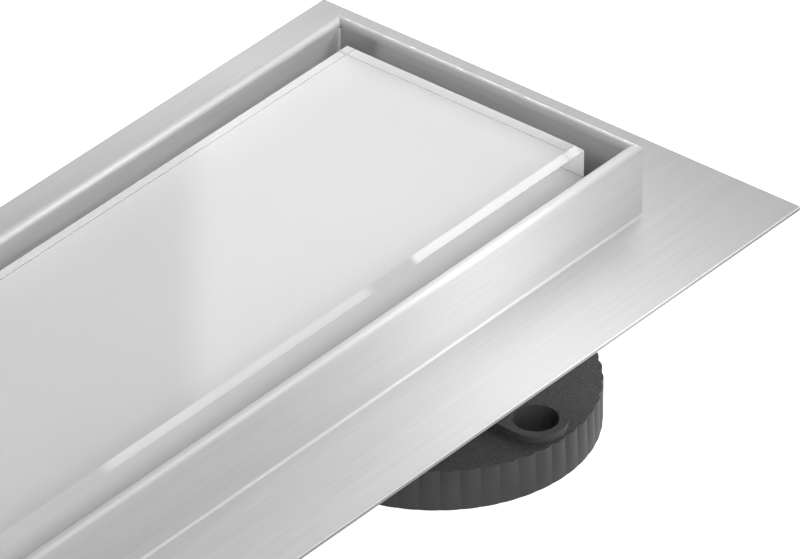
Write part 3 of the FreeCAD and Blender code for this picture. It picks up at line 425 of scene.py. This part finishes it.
def threaded_stud(name, replaced):
    """A stud with a right-handed thread, in place of a plain one."""
    low, high = (Vector(corner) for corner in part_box(replaced))
    middle, shank = (low + high) / 2, high.z - low.z - STUD_FLANGE
    threaded = round(shank / THREAD_PITCH * ROWS_PER_TURN)
    rows = threaded + 2
    bpy.ops.object.select_all(action="DESELECT")
    bpy.ops.mesh.primitive_grid_add(x_subdivisions=STUD_SIDES, y_subdivisions=rows, size=1)
    piece = bpy.context.object
    piece.name = name
    piece.data.name = name
    for vertex in piece.data.vertices:
        around, row = vertex.co.x + 0.5, round((vertex.co.y + 0.5) * rows)
        along = min(row, threaded) / threaded * shank
        wave = abs(2 * ((along / THREAD_PITCH - around) % 1.0) - 1)     # 0 at the root, 1 on the crest
        runout = min(1.0, (shank - along) / THREAD_PITCH)
        reach = STUD_RADIUS - THREAD_DEPTH * runout * (1 - min(1.0, CREST * wave))
        reach -= max(0.0, STUD_CHAMFER - along)
        if row > threaded:      # the welded flange: its underside's rim, then its top
            reach, along = (high.x - low.x) / 2, shank + (row - threaded - 1) * STUD_FLANGE
        angle = math.tau * around
        vertex.co = (middle.x + reach * math.cos(angle), middle.y + reach * math.sin(angle), low.z + along)
    bpy.ops.object.mode_set(mode="EDIT")
    bpy.ops.mesh.select_all(action="SELECT")
    bpy.ops.mesh.remove_doubles(threshold=WELD_GAP)
    bpy.ops.mesh.fill_holes(sides=0)
    bpy.ops.mesh.normals_make_consistent(inside=False)
    bpy.ops.object.mode_set(mode="OBJECT")
    bpy.ops.object.shade_smooth_by_angle(angle=SMOOTH_ANGLE)
    piece.data.materials.append(mill_steel)
    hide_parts(replaced)
    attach(piece, "drain")
    return piece


for side in ("left", "right"):
    stud = threaded_stud("threaded_stud_" + side, "foot_stud_" + side)
    print(stud.name, len(stud.data.vertices), "points")

# %% [markdown]
# ## The floor
#
# The picture's ground is plain and purely white. The feet can be screwed down by 10 mm, so the
# floor lies just under their lowest place. Seen directly it glows, but it lights the drain as
# white paper would.

# %% Floor
FLOOR_HEIGHT = -10.2 * MM
bpy.ops.object.select_all(action="DESELECT")
bpy.ops.mesh.primitive_plane_add(size=12, location=(0, 0, FLOOR_HEIGHT))
floor = bpy.context.object
floor.name = "floor"
floor_paint, tree, shader = new_material(
    "white floor", Base_Color=linear("#e4e4e4"), Roughness=0.9, Specular_IOR_Level=0.1)
glow = add_node(tree, "ShaderNodeEmission", {"Color": linear("#ffffff"), "Strength": 0.9})
lit = add_node(tree, "ShaderNodeAddShader", {0: shader.outputs["BSDF"], 1: glow.outputs["Emission"]})
seen = add_node(tree, "ShaderNodeLightPath")
pick = add_node(tree, "ShaderNodeMixShader", {
    0: seen.outputs["Is Camera Ray"], 1: shader.outputs["BSDF"], 2: lit.outputs["Shader"]})
tree.links.new(pick.outputs["Shader"], tree.nodes["Material Output"].inputs["Surface"])
floor.data.materials.append(floor_paint)
print("the floor lies at", round(FLOOR_HEIGHT / MM, 1), "mm")

# %% [markdown]
# ## The studio
#
# A white tent gives the even light. Seen directly it is as white as the floor, but its light is
# dimmer, so that the panels show against it. Brushed steel and glass look like what they mirror,
# so each band of light on them gets a glowing panel in the place that it mirrors to the camera. A
# panel's sides fade, because the bands in the picture have soft ends, and the camera doesn't see
# the panels themselves.

# %% World
WORLD = 0.60            # the tent's light
WHITE = 1.05            # the tent seen directly
scene = bpy.context.scene
world = bpy.data.worlds.new("studio")
scene.world = world
world.use_nodes = True
sky = world.node_tree.nodes["Background"]
sky.inputs["Color"].default_value = linear("#ffffff")
seen = add_node(world.node_tree, "ShaderNodeLightPath")
strength = add_node(world.node_tree, "ShaderNodeMapRange", {
    "Value": seen.outputs["Is Camera Ray"], "To Min": WORLD, "To Max": WHITE})
world.node_tree.links.new(strength.outputs["Result"], sky.inputs["Strength"])
print("the tent's light is", WORLD)

# %% Glowing panels


def softbox(name, direction, distance, width, height, radiance, aim, feather, upright):
    """A glowing panel that faces a point from a direction; feather is how far its sides fade.

    An upright panel's height is vertical. Another's lies square to X, so that the brushed steel,
    which smears light square to X, shows it as a band no wider than the panel.
    """
    away = Vector(direction).normalized()
    tall = Vector((0, 0, 1)) if upright else Vector((1, 0, 0)).cross(away)
    tall = (tall - tall.dot(away) * away).normalized()
    turned = Matrix((tall.cross(away), tall, away)).transposed().to_euler()
    bpy.ops.object.select_all(action="DESELECT")
    bpy.ops.mesh.primitive_plane_add(size=1, location=Vector(aim) + away * distance, rotation=turned)
    panel = bpy.context.object
    panel.name = name
    panel.scale = (width, height, 1)
    panel.visible_camera = False
    material = bpy.data.materials.new(name)
    material.use_nodes = True
    tree = material.node_tree
    tree.nodes.remove(tree.nodes["Principled BSDF"])
    place = add_node(tree, "ShaderNodeTexCoord")
    across = add_node(tree, "ShaderNodeSeparateXYZ", {"Vector": place.outputs["Object"]})
    side = add_node(tree, "ShaderNodeMath", {0: across.outputs["X"]}, operation="ABSOLUTE")
    fade = add_node(tree, "ShaderNodeMapRange", {
        "Value": side.outputs["Value"], "From Min": 0.5 - feather, "From Max": 0.5001,
        "To Min": radiance, "To Max": WORLD}, interpolation_type="SMOOTHSTEP")
    light = add_node(tree, "ShaderNodeEmission", {"Strength": fade.outputs["Result"]})
    tree.links.new(light.outputs["Emission"], tree.nodes["Material Output"].inputs["Surface"])
    panel.data.materials.append(material)


# Where the level glass mirrors the camera's view to, and where the flange's scratches smear it to
GLASS_MIRRORS = (0.6448, 0.5272, 0.5536)
FLANGE_SMEARS = (0.6448, -0.060, 0.762)
PANELS = (
    # name, direction, distance, width, height, radiance, aim, feather, upright
    # The glass: a bright right half and a darker left one
    ("back strip", GLASS_MIRRORS, 1.6, 0.164, 0.25, 2.15, (0.2235, -0.0143, 0.0760), 0.12, True),
    ("left card", GLASS_MIRRORS, 1.61, 0.20, 0.30, 0.5, (0.1110, 0.1230, 0.0760), 0.12, True),
    # The flange in front: a bright patch, and a softer one to its left
    ("top panel", FLANGE_SMEARS, 0.30, 0.05, 0.18, 2.4, (0.2130, -0.0490, 0.0584), 0.25, False),
    ("wide top", FLANGE_SMEARS, 0.50, 0.12, 0.30, 1.45, (0.1200, -0.0490, 0.0584), 0.25, False),
    # The flange behind the end wall, and the bright patch on the wall in front
    ("far panel", (0.6448, 0.0, 0.764), 0.30, 0.08, 0.12, 2.7, (0.2620, 0.0530, 0.0584), 0.25, False),
    ("front panel", (0.6448, -0.760, 0.08), 0.30, 0.035, 0.14, 5.6, (0.2290, -0.0407, 0.0660), 0.15, False),
    # The front bevel of the glass: bright near the corner, paler farther left
    ("side panel", (0.6548, -0.5465, 0.5222), 0.8, 0.060, 0.10, 7.6, (0.24, -0.0305, 0.0755), 0.05, False),
    ("long panel", (0.6480, -0.5500, 0.5260), 0.8, 0.094, 0.10, 4.0, (0.133, -0.0305, 0.0755), 0.05, False),
    # The foot's right side; the low one stays under the flange, so that the glass doesn't get its light
    ("right panel", (0.93, -0.30, 0.20), 1.0, 0.6, 0.5, 5.0, (0.2593, 0.0, 0.005), 0.3, True),
    ("low panel", (0.93, -0.30, 0.03), 0.5, 0.30, 0.05, 40.0, (0.2593, 0.0, 0.005), 0.3, True),
    # Soft light over all, from the front, from above and from the left
    ("broad panel", (0.45, -0.80, 0.40), 2.4, 1.2, 1.0, 2.1, (0.2000, 0.0, 0.0600), 0.3, True),
    ("high panel", (0.62, -0.30, 0.73), 2.4, 1.2, 1.0, 1.2, (0.2000, 0.0, 0.0600), 0.3, True),
    ("fill panel", (-0.45, -0.85, 0.35), 1.8, 1.0, 0.8, 7.2, (0.2593, 0.0, 0.005), 0.3, True),
)
for panel in PANELS:
    softbox(*panel)
print(len(PANELS), "glowing panels are placed")

# %% [markdown]
# ## The camera
#
# A long lens gives the nearly parallel edges of a product picture. The camera is two metres away,
# looks down by about 34 degrees, and frames one end of the channel.

# %% Camera
AZIMUTH, ELEVATION = math.radians(-50.733), math.radians(33.612)
DISTANCE = 1.9667
TARGET = Vector((0.2264, -0.01722, 0.0584))
LENS = 432.67
SENSOR = 36.0
camera_data = bpy.data.cameras.new("camera")
camera = bpy.data.objects.new("camera", camera_data)
scene.collection.objects.link(camera)
back = Vector((math.sin(AZIMUTH) * math.cos(ELEVATION), -math.cos(AZIMUTH) * math.cos(ELEVATION),
               math.sin(ELEVATION)))
camera.location = TARGET + back * DISTANCE
camera.rotation_euler = (-back).to_track_quat("-Z", "Y").to_euler()
camera_data.sensor_width = SENSOR
camera_data.lens = LENS
camera_data.clip_start, camera_data.clip_end = 0.05, 50
scene.camera = camera
print("the picture is", round(DISTANCE * SENSOR / LENS / MM), "mm wide at the drain")

# %% [markdown]
# ## Colour, and light inside the glass
#
# The standard view shows each colour as it is, so that white stays white. Light crosses many faces
# inside the bevelled glass, so its rays are given more bounces than usual.

# %% Colour and bounces
scene.view_settings.view_transform = "Standard"
scene.view_settings.look = "None"
scene.cycles.use_denoising = True
scene.cycles.max_bounces = 14
scene.cycles.transmission_bounces = 12
scene.cycles.glossy_bounces = 6
print("view:", scene.view_settings.view_transform)
